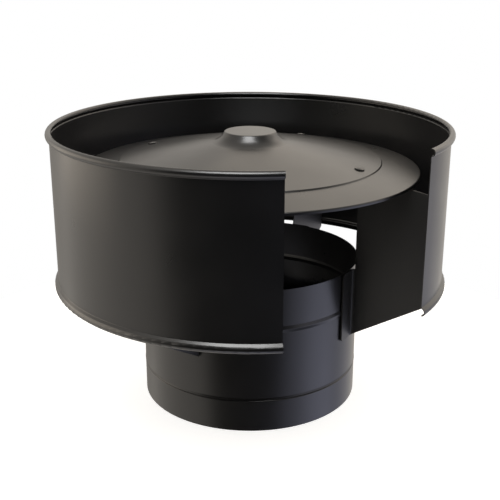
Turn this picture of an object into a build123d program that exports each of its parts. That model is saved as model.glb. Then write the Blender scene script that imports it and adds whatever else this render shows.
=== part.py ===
from build123d import *
import os
from math import radians, sqrt, tan

# Anti-downdraught cowl for a twin wall flue, with part of its drum cut away.
# All sizes are millimetres. The flue's axis is Z, and Z = 0 is the collar's bottom edge.
# Heights are measured up from there, radii from the axis and azimuths from +X.

# Flue: its bore, and the depth of its wall from the bore to the outside of the casing.
# The collar is the casing, in two lengths.
flue_bore_radius = 75.0
wall_depth = 25.0
casing_sheet = 0.8
casing_height = 130.85
seam_height = 29.6
seam_gap = 1.3
swage_height = 94.7
swage_width = 6.0
swage_bulge = 0.8
swage_tip_radius = 1.2
swage_root_radius = 1.0
lip_height = 1.2
lip_flare = 0.3
neck_length = 16.0
neck_joggle = 0.6
fit_gap = 0.1

# Flue pipe, insulation and closing rings inside the collar
liner_sheet = 0.6
liner_bottom = 28.8
liner_top = 60.0
ring_sheet = 0.8
ring_flange = 8.0
ring_bend = 1.2
bottom_ring_height = 30.0
top_ring_height = 57.0

# Drum, open at both ends. Its top bead is half-round, with the edge curled down inside it, and its
# bottom bead has a taller upper flank.
drum_radius = 176.1
drum_sheet = 0.8
drum_bottom = 110.3
drum_height = 142.2
bead_radius = 3.2
bead_root_radius = 0.8
bead_edge_flat = 0.15
curl_radius = 2.2
curl_angle = 80.0
bead_shoulder_rise = 1.9
bead_shoulder_radius = 3.8
bead_flank_rise = 2.9
cutaway_start = -81.9
cutaway_end = -36.0

# Cap, a shallow cone with a pressed step and a raised boss
cap_radius = 151.8
cap_edge_height = 213.6
cap_sheet = 1.0
cap_slope = 10.4
cap_lip = 2.4
cap_lip_bend = 1.3
step_gap = 4.65
step_rise = 1.0
step_width = 0.9
step_bend = 0.3
boss_radius = 22.9
boss_height = 7.5
boss_side_slope = 57.5
boss_flare_bend = 14.0
boss_rim_bend = 1.6

# Brackets: each is one folded sheet that carries the drum and the cap
bracket_count = 4
bracket_azimuth = -28.75
bracket_sheet = 1.2
bracket_bend = 2.2
web_offset = 5.0
web_foot_height = 67.3
web_rise = 30.5
web_top_height = 218.0
web_top_slope = 10.0
flange_seat_gap = 0.05
flange_reach = 14.6
flange_corner = 3.5
web_neck_height = 203.0
web_neck_inset = 4.95
foot_length = 14.5
foot_reach = 8.0
drum_flange_reach = 13.0
drum_flange_margin = 5.0

# Rivets through the cap and the brackets' feet
rivet_head_radius = 4.4
rivet_rim_height = 0.9
rivet_head_height = 1.7
rivet_shank_radius = 2.0
rivet_hole_gap = 0.1
rivet_tail_radius = 2.9
rivet_tail_length = 3.0
rivet_seat_gap = 0.02

# Places that follow from the sizes above
casing_radius = flue_bore_radius + wall_depth
liner_outer = flue_bore_radius + liner_sheet
casing_inner = casing_radius - casing_sheet
casing_neck = casing_inner - fit_gap
neck_inner = casing_neck - casing_sheet
drum_top = drum_bottom + drum_height
drum_inner = drum_radius - drum_sheet
bead_rise = sqrt(bead_radius**2 + 2 * bead_radius * bead_root_radius)
shoulder_height = drum_bottom + bead_radius + bead_shoulder_rise
bottom_bead_top = shoulder_height + bead_flank_rise
flange_inner = casing_radius + flange_seat_gap
flange_outer = flange_inner + bracket_sheet
web_start = flange_outer + bracket_bend
foot_inner = web_start - web_neck_inset
foot_outer = foot_inner + foot_length
rivet_radius = foot_inner + foot_length / 2
step_radius = foot_outer + step_gap
cap_fall = tan(radians(cap_slope))
step_height = cap_edge_height + (cap_radius - step_radius) * cap_fall
boss_side_fall = tan(radians(boss_side_slope))
beyond = drum_radius + drum_top


def turned(profile, start=0.0, sweep=360.0):
    """Spins a face, drawn as radius and height, about the flue's axis."""
    return Rot(Z=start) * revolve(Plane.XZ * profile, Axis.Z, revolution_arc=sweep)


def sheet(path, thickness, side):
    """Gives thickness to the drawn line of a bent sheet, on one side of the line."""
    return make_face(offset(path, thickness, side=side, closed=True).edges())


def ring_section(inner, outer, low, high):
    """A plain rectangle of radius and height."""
    return make_face(Polyline((inner, low), (outer, low), (outer, high), (inner, high), close=True))


def swage_apex():
    """How far out the swage's two flanks would meet, were its tip not rounded back."""
    half = swage_width / 2
    lack = swage_tip_radius - swage_bulge
    share = 1 - (swage_tip_radius / half) ** 2
    return (sqrt(lack**2 - share * (lack**2 - swage_tip_radius**2)) - lack) / share


def casing_upper():
    """The collar: a rolled tube, belled at the seam, with one swaged bead, open at the top."""
    half = swage_width / 2
    lip = seam_height + seam_gap / 2
    path = FilletPolyline(
        (casing_radius + lip_flare, lip),
        (casing_radius, lip + lip_height),
        (casing_radius, swage_height - half),
        (casing_radius + swage_apex(), swage_height),
        (casing_radius, swage_height + half),
        (casing_radius, casing_height),
        radius=[swage_root_radius, swage_root_radius, swage_tip_radius, swage_root_radius],
    )
    return turned(sheet(path, casing_sheet, Side.LEFT))


def casing_lower():
    """The collar's bottom length, joggled in at its top to enter the upper one."""
    joggle = seam_height - seam_gap / 2
    path = FilletPolyline(
        (casing_radius, 0),
        (casing_radius, joggle - neck_joggle),
        (casing_neck, joggle),
        (casing_neck, seam_height + neck_length),
        radius=casing_sheet,
    )
    return turned(sheet(path, casing_sheet, Side.LEFT))


def liner():
    """The flue pipe's inner tube."""
    return turned(
        ring_section(flue_bore_radius, flue_bore_radius + liner_sheet, liner_bottom, liner_top)
    )


def closing_ring(outer, height, flange, side):
    """A ring that closes the space round the liner; its two flanges lie along the walls."""
    path = FilletPolyline(
        (liner_outer + fit_gap, height + flange),
        (liner_outer + fit_gap, height),
        (outer - fit_gap, height),
        (outer - fit_gap, height + flange),
        radius=ring_bend + ring_sheet,
    )
    return turned(sheet(path, ring_sheet, side))


def closing_ring_bottom():
    """The lower closing ring, inside the joggled neck, with its flanges upwards."""
    return closing_ring(neck_inner, bottom_ring_height, ring_flange, Side.LEFT)


def closing_ring_top():
    """The upper closing ring, with its flanges downwards, so that rain runs off it."""
    return closing_ring(casing_inner, top_ring_height, -ring_flange, Side.RIGHT)


def insulation():
    """The wool packed between the closing rings."""
    clear = ring_sheet + 2 * fit_gap
    section = ring_section(
        liner_outer + clear,
        neck_inner - clear,
        bottom_ring_height + clear,
        top_ring_height - clear,
    )
    return turned(fillet(section.vertices(), ring_bend))


def top_bead():
    """The half-round bead at the drum's top, from the wall to the edge that is curled down."""
    middle = drum_top - bead_radius
    share = bead_radius / (bead_radius + bead_root_radius)
    meeting = (drum_radius + share * bead_root_radius, middle - share * bead_rise)
    round_part = ThreePointArc((drum_radius, drum_top), (drum_radius + bead_radius, middle), meeting)
    root = TangentArc(meeting, (drum_radius, middle - bead_rise), tangent=round_part % 1)
    curl = CenterArc((drum_radius, drum_top - curl_radius), curl_radius, 90, curl_angle)
    return [root, round_part, curl]


def bottom_bead(wall_end):
    """The bead at the drum's bottom, from the edge, and the wall above it."""
    nose = drum_radius + bead_radius
    return FilletPolyline(
        (drum_radius, drum_bottom),
        (nose, drum_bottom),
        (nose, shoulder_height),
        (drum_radius, bottom_bead_top),
        wall_end,
        radius=[bead_radius - bead_edge_flat, bead_shoulder_radius, bead_root_radius],
    )


def drum():
    """The drum: a rolled sheet with a bead at each end, less the wedge that is cut away."""
    upper = top_bead()
    path = Wire([*bottom_bead(upper[0] @ 1).edges(), *upper])
    kept = 360 - (cutaway_end - cutaway_start)
    return turned(sheet(path, drum_sheet, Side.LEFT), cutaway_end, kept)


def boss_foot():
    """Where the boss's steep side, run straight down, would meet the cone."""
    rim_height = step_height + step_rise + (step_radius - boss_radius) * cap_fall
    reach = boss_height / (boss_side_fall - cap_fall)
    return (boss_radius + reach, rim_height - reach * cap_fall)


def cap_top_line():
    """The cap's upper face, drawn from the lip's bottom edge to the axis."""
    foot = boss_foot()
    top = foot[1] + (foot[0] - boss_radius) * boss_side_fall
    return FilletPolyline(
        (cap_radius, cap_edge_height - cap_lip),
        (cap_radius, cap_edge_height),
        (step_radius + step_width / 2, step_height - step_width / 2 * cap_fall),
        (step_radius - step_width / 2, step_height + step_rise + step_width / 2 * cap_fall),
        foot,
        (boss_radius, top),
        (0, top),
        radius=[cap_lip_bend, step_bend, step_bend, boss_flare_bend, boss_rim_bend],
    )


def cap():
    """The cap, with a hole for each bracket's rivet."""
    sheet_metal = turned(sheet(cap_top_line(), cap_sheet, Side.LEFT))
    holes = [at_bracket(k) * rivet_hole() for k in range(bracket_count)]
    return sheet_metal - holes


def at_bracket(number):
    """Turns a piece that was drawn along +X to the azimuth of one of the brackets."""
    return Rot(Z=bracket_azimuth + number * 360 / bracket_count)


def at_rivet():
    """The place where a rivet stands on the cap, square to the cone."""
    raised = step_rise if rivet_radius < step_radius else 0
    height = step_height + raised + (step_radius - rivet_radius) * cap_fall
    return Pos(rivet_radius, 0, height) * Rot(Y=cap_slope)


def rivet_hole():
    """The hole through the cap and the foot under it."""
    depth = 2 * (cap_sheet + bracket_sheet)
    return at_rivet() * Cylinder(rivet_shank_radius + rivet_hole_gap, 2 * depth)


def rivet():
    """One rivet: a low domed head, its shank and the end that was set underneath."""
    grip = cap_sheet + bracket_sheet + rivet_seat_gap
    end = -grip - rivet_tail_length
    shoulder = end + rivet_tail_radius / 2
    outline = [
        Line((0, end), (rivet_shank_radius, end)),
        Line((rivet_shank_radius, end), (rivet_tail_radius, shoulder)),
        Line((rivet_tail_radius, shoulder), (rivet_tail_radius, -grip)),
        Line((rivet_tail_radius, -grip), (rivet_shank_radius, -grip)),
        Line((rivet_shank_radius, -grip), (rivet_shank_radius, 0)),
        Line((rivet_shank_radius, 0), (rivet_head_radius, 0)),
        Line((rivet_head_radius, 0), (rivet_head_radius, rivet_rim_height)),
        dome_line(rivet_head_radius, rivet_rim_height, rivet_head_height),
        Line((0, rivet_head_height), (0, end)),
    ]
    return at_rivet() * turned(make_face(outline))


def dome_line(radius, rim, top):
    """An arc from the rim of a dome to its top."""
    rise = top - rim
    sphere = (radius**2 + rise**2) / (2 * rise)
    return RadiusArc((radius, rim), (0, top), -sphere)


def cap_rivets():
    """The rivets that hold the cap on the brackets."""
    return Compound([at_bracket(k) * rivet() for k in range(bracket_count)])


def wall_reach(across):
    """How far out the drum's inner face is, at a distance across from a bracket's middle."""
    return sqrt(drum_inner**2 - across**2)


def web_bottom(along):
    """Height of the web's sloping bottom edge."""
    return web_foot_height + (along - flange_outer) * tan(radians(web_rise))


def web_top(along):
    """Height of the web's top edge, which runs down under the cap's lip."""
    return web_top_height - (along - web_start) * tan(radians(web_top_slope))


def side_cut(points):
    """A solid whose outline, seen from the side, is the given points."""
    outline = make_face(Polyline(*points, close=True))
    return extrude(Plane.XZ * outline, beyond, both=True)


def upright(path):
    """Bends the sheet along a line seen from above, at the full height of the drum's top."""
    return extrude(sheet(path, bracket_sheet, Side.LEFT), beyond)


def collar_flange():
    """The flange on the collar, with the bend that joins it to the web."""
    web_end = web_start + bracket_bend
    path = FilletPolyline(
        (flange_outer, -flange_reach),
        (flange_outer, web_offset),
        (web_end, web_offset),
        radius=bracket_bend,
    )
    outline = [
        (casing_inner, web_foot_height),
        (flange_outer, web_foot_height),
        (web_end, web_bottom(web_end)),
        (web_end, casing_height),
        (casing_inner, casing_height),
    ]
    flange = upright(path) & side_cut(outline)
    corners = flange.edges().filter_by(Axis.X).filter_by_position(
        Axis.Y, -flange_reach - fit_gap, -flange_reach + fit_gap
    )
    return fillet(corners, flange_corner) - swage_relief()


def swage_relief():
    """The shallow hollow in the back of the flange, where it passes over the swage."""
    depth = casing_radius + swage_bulge + flange_seat_gap
    length = swage_width + 2 * swage_root_radius
    return Pos(0, 0, swage_height) * Cylinder(depth, length)


def web():
    """The web with its neck, and the flange that is welded to the drum's inner face."""
    across = web_offset + drum_flange_reach
    path = FilletPolyline(
        (foot_inner, web_offset),
        (wall_reach(web_offset), web_offset),
        (wall_reach(across), across),
        radius=bracket_bend + bracket_sheet,
    )
    neck_top = cap_edge_height + cap_radius
    outline = [
        (web_start, web_bottom(web_start)),
        (drum_radius, web_bottom(drum_radius)),
        (drum_radius, web_top(drum_radius)),
        (foot_outer, web_top(foot_outer)),
        (foot_outer, neck_top),
        (foot_inner, neck_top),
        (foot_inner, web_neck_height + web_neck_inset),
        (web_start, web_neck_height),
    ]
    plate = upright(path) & side_cut(outline)
    low = bottom_bead_top + drum_flange_margin
    high = web_top(drum_inner) - drum_flange_margin
    behind = web_offset + bracket_bend + 2 * bracket_sheet
    above = Pos(0, behind, high) * Box(beyond, beyond, beyond, align=(Align.MIN,) * 3)
    below = Pos(0, behind, low) * Box(
        beyond, beyond, beyond, align=(Align.MIN, Align.MIN, Align.MAX)
    )
    return plate - above - below


def under_cap():
    """The room under the cap's lower face."""
    line = cap_top_line()
    floor = [
        Line(line @ 1, (0, 0)),
        Line((0, 0), (cap_radius, 0)),
        Line((cap_radius, 0), line @ 0),
    ]
    room = turned(make_face(line.edges() + floor))
    return room - turned(sheet(line, cap_sheet, Side.LEFT))


def foot():
    """The foot under the cap, formed to the cone."""
    depth = cap_sheet + bracket_sheet
    layer = turned(sheet(cap_top_line(), depth, Side.LEFT))
    width = foot_reach + web_offset + bracket_sheet
    block = Pos(foot_inner, web_offset + bracket_sheet, 0) * Box(
        foot_length, width, beyond, align=(Align.MIN, Align.MAX, Align.MIN)
    )
    return layer & block


def bracket(room):
    """One bracket, cut off under the cap and drilled for its rivet."""
    upper = web()
    neck = Pos(0, 0, web_top(foot_inner)) * Box(
        2 * foot_outer, beyond, beyond, align=(Align.MIN, Align.CENTER, Align.MIN)
    )
    high = ((upper & neck) + foot()) & room
    return (upper - neck) + high + collar_flange() - rivet_hole()


pieces = {
    "drum": drum(),
    "cap": cap(),
    "cap_rivets": cap_rivets(),
    "casing_upper": casing_upper(),
    "casing_lower": casing_lower(),
    "liner": liner(),
    "insulation": insulation(),
    "closing_ring_bottom": closing_ring_bottom(),
    "closing_ring_top": closing_ring_top(),
}
one_bracket = bracket(under_cap())
for number in range(bracket_count):
    pieces[f"bracket_{number + 1}"] = at_bracket(number) * one_bracket

os.makedirs("parts", exist_ok=True)
for name, piece in pieces.items():
    export_step(piece, f"parts/{name}.step")
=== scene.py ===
from math import cos, radians, sin

import bmesh
import bpy
from mathutils import Matrix, Vector


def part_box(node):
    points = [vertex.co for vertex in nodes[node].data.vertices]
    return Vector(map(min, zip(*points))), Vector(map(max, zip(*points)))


# Looks of the cut-away downdraught cowl: satin black sheet steel on a white board, in soft light.
# All lengths are metres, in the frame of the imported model.

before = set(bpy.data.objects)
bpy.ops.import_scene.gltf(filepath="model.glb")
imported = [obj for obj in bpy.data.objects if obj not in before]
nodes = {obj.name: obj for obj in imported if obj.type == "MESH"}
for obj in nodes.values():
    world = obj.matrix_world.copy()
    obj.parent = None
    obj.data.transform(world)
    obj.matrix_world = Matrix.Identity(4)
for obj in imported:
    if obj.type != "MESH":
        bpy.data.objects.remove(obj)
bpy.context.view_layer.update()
MM = 0.001
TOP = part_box("drum")[1].z

# Camera, as the photograph was taken
LENS = 65.485
SENSOR_WIDTH = 36
CAMERA_DISTANCE = 848.03 * MM
CAMERA_ELEVATION = radians(18.842)
CAMERA_ROLL = radians(0.088)
AIM_HEIGHT = 133.233 * MM
NEAREST_SEEN = 0.01
FARTHEST_SEEN = 50

# Powder coat: its orange peel and the passes of the spray gun, in millimetres, and the share by
# which the passes change its colour
PEEL_WIDTH = 2.2
PEEL_DEPTH = 0.02
SPRAY_PASS = 45
COLOUR_DRIFT = 0.08

# Stainless tube: its lines in millimetres, and how many times longer than wide they are. Real
# ones are too fine to show, so these are drawn coarser.
LINE_WIDTH = 0.8
LINE_DEPTH = 0.02
LINE_STRETCH = 50

# Galvanised sheet: the zinc's crystals in millimetres
CRYSTAL = 7

# Mineral wool: its tufts in millimetres, and how many times wider than high they are. Single
# fibres are too fine to show, so tufts of them are drawn.
TUFT_WIDTH = 1.5
TUFT_DEPTH = 0.6
TUFT_SQUEEZE = 4

# The Mix node's two colour sockets, and the one that gives the mixed colour
FIRST_COLOUR = 6
SECOND_COLOUR = 7
MIXED_COLOUR = 2
WHITE = (1, 1, 1, 1)

# Studio: a white board with a hole under the flue, in a white room
FLOOR_RADIUS = 0.36
FLOOR_HOLE = 98 * MM
FLOOR_STEPS = 96
FLOOR_LIFT = 0.75
MIDDLE = Vector((0, 0, TOP / 2))

# Dark cloths and lit screens hung in the room: azimuth and elevation of the middle, the angles
# from there at which the panel is whole and has faded out, and its light, the room's being 1
PANELS = {
    "front": (-94, 5, 43, 57, 0.0),
    "right": (-35, 45, 12, 32, 0.35),
    "back": (104, -20, 14, 36, 0.45),
    "low": (-12, -58, 11, 22, 0.0),
    "right_screen": (-12, -28, 8, 24, 1.9),
    "low_screen": (-92, -56, 8, 20, 2.0),
}

# The room is warm, apart from the low right of it, where cool daylight comes in. The fade is from
# none to all of the daylight, in cosines of the angle from its middle.
ROOM_COLOUR = "#fff8ee"
DAYLIGHT_COLOUR = "#e3e6ff"
DAYLIGHT = (-20, -40)
DAYLIGHT_FADE = (0.4, 0.9)

# Soft lamps round the cowl: azimuth and elevation, width and height, watts and colour
LAMP_DISTANCE = 1.4
LAMPS = {
    "lamp_left": (171, 8, (1.2, 0.9), 5.7, "#fff0dc"),
    "lamp_back": (62, 37, (1.5, 0.65), 2.5, "#fff0dc"),
    "lamp_right": (20, 22, (1.4, 1.1), 3.3, "#fff4e8"),
    "lamp_above": (-98, 57, (0.72, 0.72), 23.0, "#ffffff"),
}


def add_camera():
    """A camera in front of the cowl, looking slightly down at it."""
    data = bpy.data.cameras.new("camera")
    data.lens = LENS
    data.sensor_width = SENSOR_WIDTH
    data.clip_start = NEAREST_SEEN
    data.clip_end = FARTHEST_SEEN
    camera = bpy.data.objects.new("camera", data)
    bpy.context.scene.collection.objects.link(camera)
    aim = Matrix.Translation((0, 0, AIM_HEIGHT))
    tilt = Matrix.Rotation(radians(90) - CAMERA_ELEVATION, 4, "X")
    roll = Matrix.Rotation(CAMERA_ROLL, 4, "Z")
    back = Matrix.Translation((0, 0, CAMERA_DISTANCE))
    camera.matrix_world = aim @ tilt @ roll @ back
    bpy.context.scene.camera = camera


def linear(hex_colour):
    """Turns an sRGB hex colour into the linear one that a shader takes."""
    channels = [int(hex_colour[i:i + 2], 16) / 255 for i in (1, 3, 5)]
    curve = [c / 12.92 if c <= 0.04045 else ((c + 0.055) / 1.055) ** 2.4 for c in channels]
    return (*curve, 1)


def add_node(tree, kind, settings=None, links=None):
    """Adds a node. `settings` are its own values or its sockets', `links` feed its sockets."""
    node = tree.nodes.new(kind)
    for name, value in (settings or {}).items():
        if isinstance(name, str) and hasattr(node, name):
            setattr(node, name, value)
        else:
            node.inputs[name].default_value = value
    for name, source in (links or {}).items():
        tree.links.new(source, node.inputs[name])
    return node


def new_material(name):
    """An empty material and its node tree."""
    material = bpy.data.materials.new(name)
    material.use_nodes = True
    material.node_tree.nodes.clear()
    return material, material.node_tree


def finish_material(tree, surface):
    """Joins a shader to the material's output."""
    add_node(tree, "ShaderNodeOutputMaterial", links={"Surface": surface.outputs[0]})


def grain(size_mm):
    """The scale of a pattern that repeats about once in this many millimetres."""
    return 1000 / size_mm


def powder_coat(name, colour, smooth, rough):
    """Black polyester powder baked on sheet steel: a satin skin with faint orange peel."""
    material, tree = new_material(name)
    place = add_node(tree, "ShaderNodeTexCoord")
    peel = add_node(
        tree, "ShaderNodeTexNoise",
        {"Scale": grain(PEEL_WIDTH), "Detail": 2.0, "Roughness": 0.5},
        {"Vector": place.outputs["Object"]},
    )
    drift = add_node(
        tree, "ShaderNodeTexNoise",
        {"Scale": grain(SPRAY_PASS), "Detail": 3.0, "Roughness": 0.55},
        {"Vector": place.outputs["Object"]},
    )
    gloss = add_node(
        tree, "ShaderNodeMapRange",
        {"From Min": 0.1, "From Max": 0.9, "To Min": smooth, "To Max": rough},
        {"Value": drift.outputs["Fac"]},
    )
    shade = add_node(
        tree, "ShaderNodeMix",
        {
            "data_type": "RGBA", "blend_type": "MULTIPLY", "Factor": COLOUR_DRIFT,
            FIRST_COLOUR: linear(colour),
        },
        {SECOND_COLOUR: drift.outputs["Color"]},
    )
    bump = add_node(
        tree, "ShaderNodeBump", {"Strength": 0.12, "Distance": PEEL_DEPTH * MM},
        {"Height": peel.outputs["Fac"]},
    )
    surface = add_node(
        tree, "ShaderNodeBsdfPrincipled", {"IOR": 1.5},
        {
            "Base Color": shade.outputs[MIXED_COLOUR], "Roughness": gloss.outputs["Result"],
            "Normal": bump.outputs["Normal"],
        },
    )
    finish_material(tree, surface)
    return material


def drawn_stainless():
    """Stainless tube: bright grey, with fine lines along the flue from drawing and polishing."""
    material, tree = new_material("drawn_stainless_steel")
    place = add_node(tree, "ShaderNodeTexCoord")
    along = add_node(
        tree, "ShaderNodeMapping", {"Scale": (1, 1, 1 / LINE_STRETCH)},
        {"Vector": place.outputs["Object"]},
    )
    lines = add_node(
        tree, "ShaderNodeTexNoise", {"Scale": grain(LINE_WIDTH), "Detail": 2.0},
        {"Vector": along.outputs[0]},
    )
    gloss = add_node(
        tree, "ShaderNodeMapRange", {"To Min": 0.24, "To Max": 0.42},
        {"Value": lines.outputs["Fac"]},
    )
    bump = add_node(
        tree, "ShaderNodeBump", {"Strength": 0.2, "Distance": LINE_DEPTH * MM},
        {"Height": lines.outputs["Fac"]},
    )
    surface = add_node(
        tree, "ShaderNodeBsdfPrincipled", {"Base Color": linear("#b4b2ad"), "Metallic": 1.0},
        {"Roughness": gloss.outputs["Result"], "Normal": bump.outputs["Normal"]},
    )
    finish_material(tree, surface)
    return material


def galvanised_sheet():
    """Hot-dip galvanised sheet: dull silver grey, in zinc crystals a few millimetres across."""
    material, tree = new_material("galvanised_steel_sheet")
    place = add_node(tree, "ShaderNodeTexCoord")
    spangle = add_node(
        tree, "ShaderNodeTexVoronoi", {"Scale": grain(CRYSTAL)},
        {"Vector": place.outputs["Object"]},
    )
    level = add_node(tree, "ShaderNodeRGBToBW", links={"Color": spangle.outputs["Color"]})
    colour = add_node(
        tree, "ShaderNodeMix",
        {
            "data_type": "RGBA", FIRST_COLOUR: linear("#8f9497"),
            SECOND_COLOUR: linear("#b3b7b9"),
        },
        {"Factor": level.outputs[0]},
    )
    gloss = add_node(
        tree, "ShaderNodeMapRange", {"To Min": 0.36, "To Max": 0.54},
        {"Value": level.outputs[0]},
    )
    surface = add_node(
        tree, "ShaderNodeBsdfPrincipled", {"Metallic": 1.0},
        {"Base Color": colour.outputs[MIXED_COLOUR], "Roughness": gloss.outputs["Result"]},
    )
    finish_material(tree, surface)
    return material


def mineral_wool():
    """Pressed stone wool: matt olive grey, with tufts of fibre that lie in flat layers."""
    material, tree = new_material("pressed_mineral_wool")
    place = add_node(tree, "ShaderNodeTexCoord")
    layers = add_node(
        tree, "ShaderNodeMapping", {"Scale": (1, 1, TUFT_SQUEEZE)},
        {"Vector": place.outputs["Object"]},
    )
    tufts = add_node(
        tree, "ShaderNodeTexNoise",
        {"Scale": grain(TUFT_WIDTH), "Detail": 5.0, "Roughness": 0.7, "Distortion": 1.2},
        {"Vector": layers.outputs[0]},
    )
    colour = add_node(
        tree, "ShaderNodeMix",
        {
            "data_type": "RGBA", FIRST_COLOUR: linear("#6b6650"),
            SECOND_COLOUR: linear("#a29b7c"),
        },
        {"Factor": tufts.outputs["Fac"]},
    )
    bump = add_node(
        tree, "ShaderNodeBump", {"Strength": 0.8, "Distance": TUFT_DEPTH * MM},
        {"Height": tufts.outputs["Fac"]},
    )
    surface = add_node(
        tree, "ShaderNodeBsdfPrincipled", {"Roughness": 0.95},
        {"Base Color": colour.outputs[MIXED_COLOUR], "Normal": bump.outputs["Normal"]},
    )
    finish_material(tree, surface)
    return material


def white_board():
    """A matt white board. It looks white from anywhere, but for the cowl's soft shadow."""
    material, tree = new_material("matt_white_board")
    board = add_node(tree, "ShaderNodeBsdfDiffuse", {"Color": linear("#e6e6e4")})
    path = add_node(tree, "ShaderNodeLightPath")
    eye = add_node(
        tree, "ShaderNodeMath", {"operation": "MAXIMUM"},
        {0: path.outputs["Is Camera Ray"], 1: path.outputs["Is Glossy Ray"]},
    )
    looked_at = add_node(
        tree, "ShaderNodeMath", {"operation": "MAXIMUM"},
        {0: eye.outputs[0], 1: path.outputs["Is Transmission Ray"]},
    )
    lift = add_node(
        tree, "ShaderNodeMapRange", {"To Max": FLOOR_LIFT}, {"Value": looked_at.outputs[0]}
    )
    white = add_node(
        tree, "ShaderNodeEmission", {"Color": WHITE}, {"Strength": lift.outputs["Result"]}
    )
    both = add_node(tree, "ShaderNodeAddShader", links={0: board.outputs[0], 1: white.outputs[0]})
    finish_material(tree, both)
    return material


def towards(azimuth, elevation):
    """The direction of a place in the studio, from the cowl."""
    turn = radians(azimuth)
    lift = radians(elevation)
    return Vector((cos(lift) * cos(turn), cos(lift) * sin(turn), sin(lift)))


def add_floor():
    """The board that the cowl stands on. Light comes up the flue through its hole."""
    shape = bmesh.new()
    inner = shape.verts.new((FLOOR_HOLE, 0, 0))
    outer = shape.verts.new((FLOOR_RADIUS, 0, 0))
    edge = shape.edges.new((inner, outer))
    bmesh.ops.spin(
        shape, geom=[inner, outer, edge], cent=(0, 0, 0), axis=(0, 0, 1), angle=radians(360),
        steps=FLOOR_STEPS, use_merge=True,
    )
    bmesh.ops.recalc_face_normals(shape, faces=shape.faces)
    mesh = bpy.data.meshes.new("floor")
    shape.to_mesh(mesh)
    shape.free()
    mesh.materials.append(white_board())
    floor = bpy.data.objects.new("floor", mesh)
    bpy.context.scene.collection.objects.link(floor)
    # Off the black coat's reflections, where the panels of the room belong
    floor.visible_glossy = False


def add_lamp(name, azimuth, elevation, size, power, colour):
    """A large soft lamp, aimed at the cowl."""
    data = bpy.data.lights.new(name, "AREA")
    data.shape = "RECTANGLE"
    data.size, data.size_y = size
    data.energy = power
    data.color = linear(colour)[:3]
    lamp = bpy.data.objects.new(name, data)
    bpy.context.scene.collection.objects.link(lamp)
    way = towards(azimuth, elevation)
    lamp.location = MIDDLE + way * LAMP_DISTANCE
    lamp.rotation_euler = (-way).to_track_quat("-Z", "Y").to_euler()
    lamp.visible_camera = False
    return lamp


def room_light(tree, way):
    """The light of the white room, changed where its panels hang. `way` is the way looked in."""
    light = None
    for azimuth, elevation, whole, faded, level in PANELS.values():
        near = add_node(
            tree, "ShaderNodeVectorMath",
            {"operation": "DOT_PRODUCT", 1: towards(azimuth, elevation)}, {0: way},
        )
        panel = add_node(
            tree, "ShaderNodeMapRange",
            {
                "interpolation_type": "SMOOTHSTEP", "From Min": cos(radians(whole)),
                "From Max": cos(radians(faded)), "To Min": level,
            },
            {"Value": near.outputs["Value"]},
        )
        if light:
            panel = add_node(
                tree, "ShaderNodeMath", {"operation": "MULTIPLY"},
                {0: light.outputs[0], 1: panel.outputs[0]},
            )
        light = panel
    return light


def room_colour(tree, way):
    """The room's warm colour, which turns cool towards the daylight."""
    none, full = DAYLIGHT_FADE
    near = add_node(
        tree, "ShaderNodeVectorMath",
        {"operation": "DOT_PRODUCT", 1: towards(*DAYLIGHT)}, {0: way},
    )
    cool = add_node(
        tree, "ShaderNodeMapRange", {"From Min": none, "From Max": full},
        {"Value": near.outputs["Value"]},
    )
    return add_node(
        tree, "ShaderNodeMix",
        {
            "data_type": "RGBA", FIRST_COLOUR: linear(ROOM_COLOUR),
            SECOND_COLOUR: linear(DAYLIGHT_COLOUR),
        },
        {"Factor": cool.outputs["Result"]},
    )


def add_room():
    """The room. The camera sees it plain white, and the cowl mirrors its panels and colours."""
    world = bpy.data.worlds.new("room")
    world.use_nodes = True
    tree = world.node_tree
    tree.nodes.clear()
    # In a world, Generated is the direction that is looked in
    way = add_node(tree, "ShaderNodeTexCoord").outputs["Generated"]
    seen = add_node(tree, "ShaderNodeLightPath").outputs["Is Camera Ray"]
    strength = add_node(
        tree, "ShaderNodeMath", {"operation": "MAXIMUM"},
        {0: room_light(tree, way).outputs[0], 1: seen},
    )
    colour = add_node(
        tree, "ShaderNodeMix", {"data_type": "RGBA", SECOND_COLOUR: WHITE},
        {"Factor": seen, FIRST_COLOUR: room_colour(tree, way).outputs[MIXED_COLOUR]},
    )
    room = add_node(
        tree, "ShaderNodeBackground",
        links={"Color": colour.outputs[MIXED_COLOUR], "Strength": strength.outputs[0]},
    )
    add_node(tree, "ShaderNodeOutputWorld", links={"Surface": room.outputs[0]})
    bpy.context.scene.world = world


def light_studio():
    """The room and its lamps. The one above only makes highlights."""
    add_room()
    lamps = {name: add_lamp(name, *lamp) for name, lamp in LAMPS.items()}
    lamps["lamp_above"].visible_diffuse = False


coat = powder_coat("satin_black_powder_coat", "#1f1f20", 0.25, 0.35)
# The brackets get a lighter, rougher copy of the coat. Its lighter colour is painted light: it
# brightens their shaded web and flange in the window, which the room and lamps light too little.
bracket_coat_with_painted_light = powder_coat("lighter_black_powder_coat_painted_light", "#303031", 0.4, 0.5)
stainless = drawn_stainless()
zinc = galvanised_sheet()
FINISHES = {
    "drum": coat,
    "cap": coat,
    "cap_rivets": coat,
    "casing_upper": coat,
    "casing_lower": coat,
    "bracket_1": bracket_coat_with_painted_light,
    "bracket_2": bracket_coat_with_painted_light,
    "bracket_3": bracket_coat_with_painted_light,
    "bracket_4": bracket_coat_with_painted_light,
    "liner": stainless,
    "closing_ring_bottom": zinc,
    "closing_ring_top": zinc,
    "insulation": mineral_wool(),
}
for name, node in nodes.items():
    node.data.materials.clear()
    node.data.materials.append(FINISHES[name])

add_camera()
add_floor()
light_studio()
bpy.context.scene.view_settings.view_transform = "Standard"
